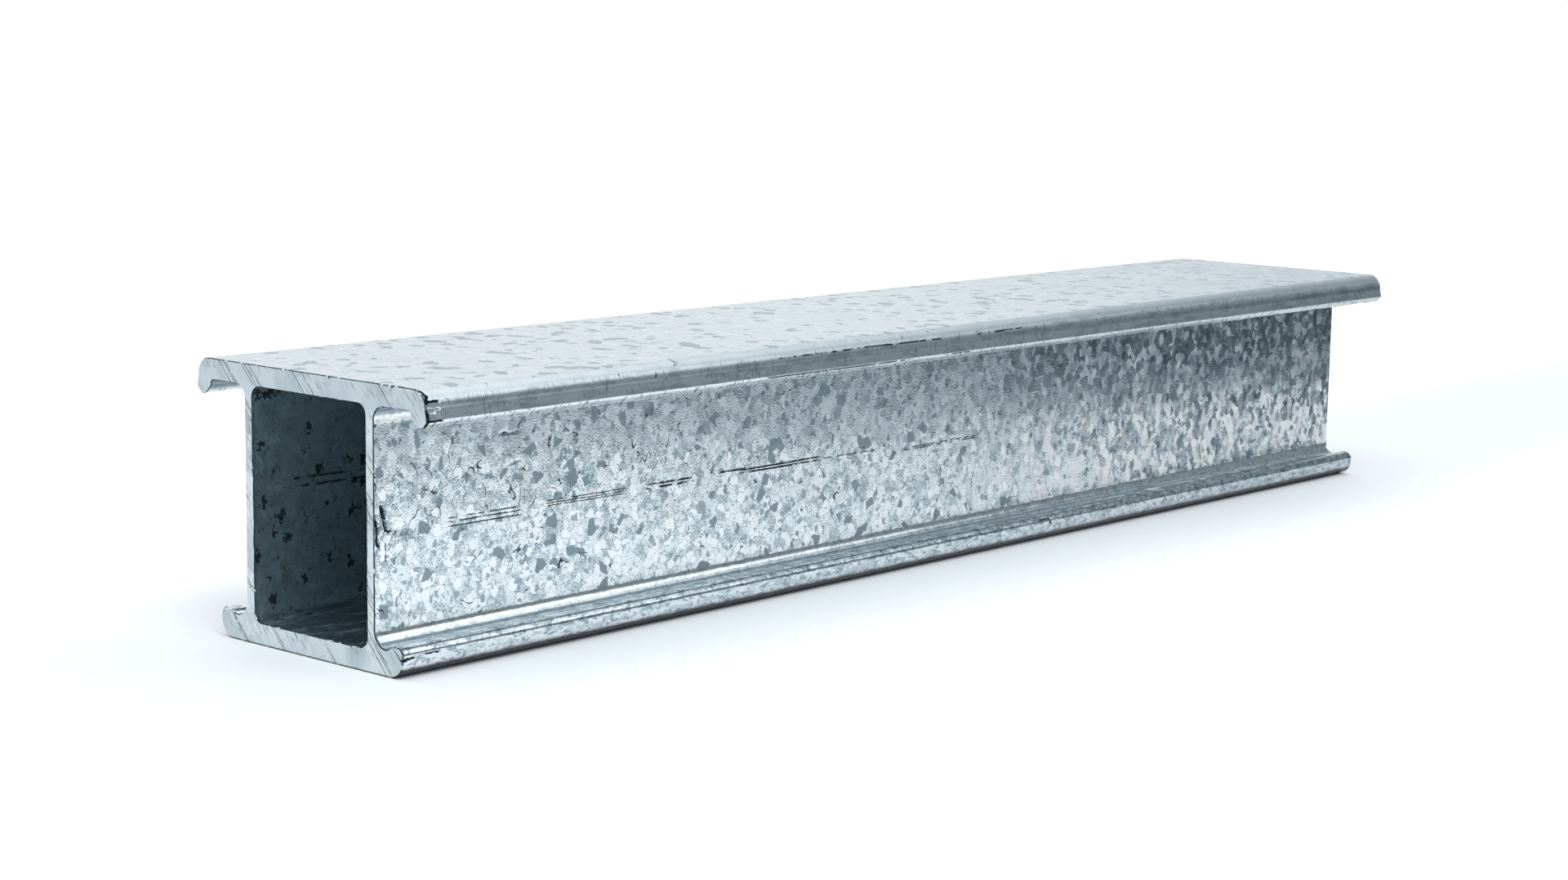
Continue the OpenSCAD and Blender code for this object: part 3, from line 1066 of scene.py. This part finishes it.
# %% The looks
LOOKS = {
    "zinc_web": dict(cloud=0.50, rings=0.6, fine=0.65, specks=0.75, plates=0.9, edges=0.8, bits=0.9, patches=1.0,
                     strokes=0.9, tilt=0.06, far_tilt=4.6, bump=0.35, rough=0.18, band=True, share=0.08,
                     extras=[dark_strokes, far_shades, far_flecks, far_blotches, far_smear, guide_gleam,
                             guide_scratches, tear_smudge, tear_gleam, throat_painted_highlight, throat_shade]),
    "zinc_top": dict(ground=(0.74, 0.80, 0.84, 1.0), cloud=0.2, plates=0.3, patches=0.65, bits=0.4,
                     strokes=0.5, tilt=0.03, bump=0.12, rough=0.26, share=0.11, extras=[top_far_shade]),
    "zinc_lip": dict(ground=(0.80, 0.86, 0.90, 1.0), cloud=0.2, specks=0.3, strokes=0.6,
                     tilt=0.01, bump=0.03, rough=0.29, extras=[lip_blush, lip_ticks, lip_seam]),
    "zinc_bevel": dict(ground=BRIGHT, cloud=0.15, bump=0.3, rough=0.2, tilt=0.05,
                       extras=[bevel_ticks, bevel_line]),
    "zinc_fillet": dict(ground=BRIGHT, bump=0.10, rough=0.12, tilt=0.02,
                        extras=[fillet_mottle, fillet_shade]),
    "zinc_ledge": dict(ground=(0.62, 0.69, 0.73, 1.0), bump=0.15, rough=0.2, tilt=0.02, extras=[ledge_lines, bead_crease_shade]),
    "zinc_bead": dict(ground=(0.86, 0.91, 0.94, 1.0), bump=0.2, rough=0.14, tilt=0.04, strokes=0.5,
                      extras=[bead_crust, bead_flakes, bead_crease_shade, bead_painted_shade]),
    "zinc_cavity": dict(ground=(0.74, 0.92, 1.0, 1.0), cloud=0.25, specks=0.5, fine=0.4, bits=0.4,
                        strokes=0.9, bump=0.4, rough=0.36, tilt=0.10,
                        extras=[cavity_painted_light, cavity_blots, cavity_floor_shade, cavity_scratches]),
}
for name, look in LOOKS.items():
    finish_zinc(bpy.data.materials[name], look)
print("zinc finishes:", len(LOOKS))

# %% [markdown]
# The sawn faces are bare steel, pale and darker towards the top, with fine slanting marks beside
# the modelled grooves. The rim around them is nearly black, broken by bright spots.

# %% Sawn steel


def saw_streaks(tree, size, low_in, high_in):
    turned = add(tree, "ShaderNodeMapping", {"Vector": place_of(tree), "Rotation": (0, SAW_SLANT, 0)})
    streak = add(tree, "ShaderNodeMapping", {"Vector": turned.outputs[0], "Scale": (1.0, 1.0, 0.06)})
    return ramp(tree, noise(tree, streak.outputs[0], size, 2.0, 0.7), low_in, high_in)


def finish_sawn(material):
    tree = new_tree(material)
    cloud = noise(tree, place_of(tree), 14 * MM, 3.0)
    colour = mix_colour(tree, ramp(tree, cloud, 0.4, 0.65), (0.69, 0.75, 0.78, 1.0), (0.52, 0.59, 0.62, 1.0))
    colour = layer(tree, colour, saw_streaks(tree, 1.6 * MM, 0.55, 0.75), 0.35, (0.35, 0.42, 0.46, 1.0))
    clusters = ramp(tree, noise(tree, place_of(tree), 10 * MM), 0.44, 0.56)
    marks = math_node(tree, "MULTIPLY", saw_streaks(tree, 0.45 * MM, 0.58, 0.61), clusters)
    colour = layer(tree, colour, marks, 0.85, (0.08, 0.11, 0.13, 1.0))
    # Darker towards the top, over the flange.
    colour = layer(tree, colour, ramp(tree, position(tree)[2], 84 * MM, 92 * MM), 0.35, (0.40, 0.46, 0.50, 1.0))
    bump = {"Height": saw_streaks(tree, 0.8 * MM, 0.3, 0.8), "Strength": 0.3, "Distance": 0.15 * MM}
    bump = add(tree, "ShaderNodeBump", bump)
    sockets = {"Base Color": colour, "Metallic": 1.0, "Roughness": 0.38, "Normal": bump.outputs[0]}
    shader = add(tree, "ShaderNodeBsdfPrincipled", sockets)
    add(tree, "ShaderNodeOutputMaterial", {"Surface": shader.outputs[0]})


def finish_rim(material):
    tree = new_tree(material)
    bright = ramp(tree, noise(tree, place_of(tree), 3 * MM, 2.0), 0.60, 0.66)
    colour = mix_colour(tree, bright, (0.03, 0.045, 0.055, 1.0), (0.6, 0.7, 0.75, 1.0))
    sockets = {"Base Color": colour, "Metallic": 1.0, "Roughness": 0.45}
    shader = add(tree, "ShaderNodeBsdfPrincipled", sockets)
    add(tree, "ShaderNodeOutputMaterial", {"Surface": shader.outputs[0]})


def finish_tear_shade(material):
    """The bottom of a tear, almost black: painted shade in the narrow recess."""
    tree = new_tree(material)
    scale = ramp(tree, noise(tree, place_of(tree), 1 * MM), 0.55, 0.65)
    colour = mix_colour(tree, scale, BLACK, (0.10, 0.13, 0.15, 1.0))
    shader = add(tree, "ShaderNodeBsdfPrincipled", {"Base Color": colour, "Metallic": 1.0, "Roughness": 0.6})
    add(tree, "ShaderNodeOutputMaterial", {"Surface": shader.outputs[0]})


finish_sawn(bpy.data.materials["sawn_steel"])
finish_tear_shade(bpy.data.materials["torn_steel"])
finish_rim(bpy.data.materials["saw_rim"])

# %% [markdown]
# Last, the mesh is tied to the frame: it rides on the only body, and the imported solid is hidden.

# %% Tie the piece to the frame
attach(profile, "root")
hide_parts(NODE)

view = bpy.context.scene.view_settings
view.view_transform = "Standard"
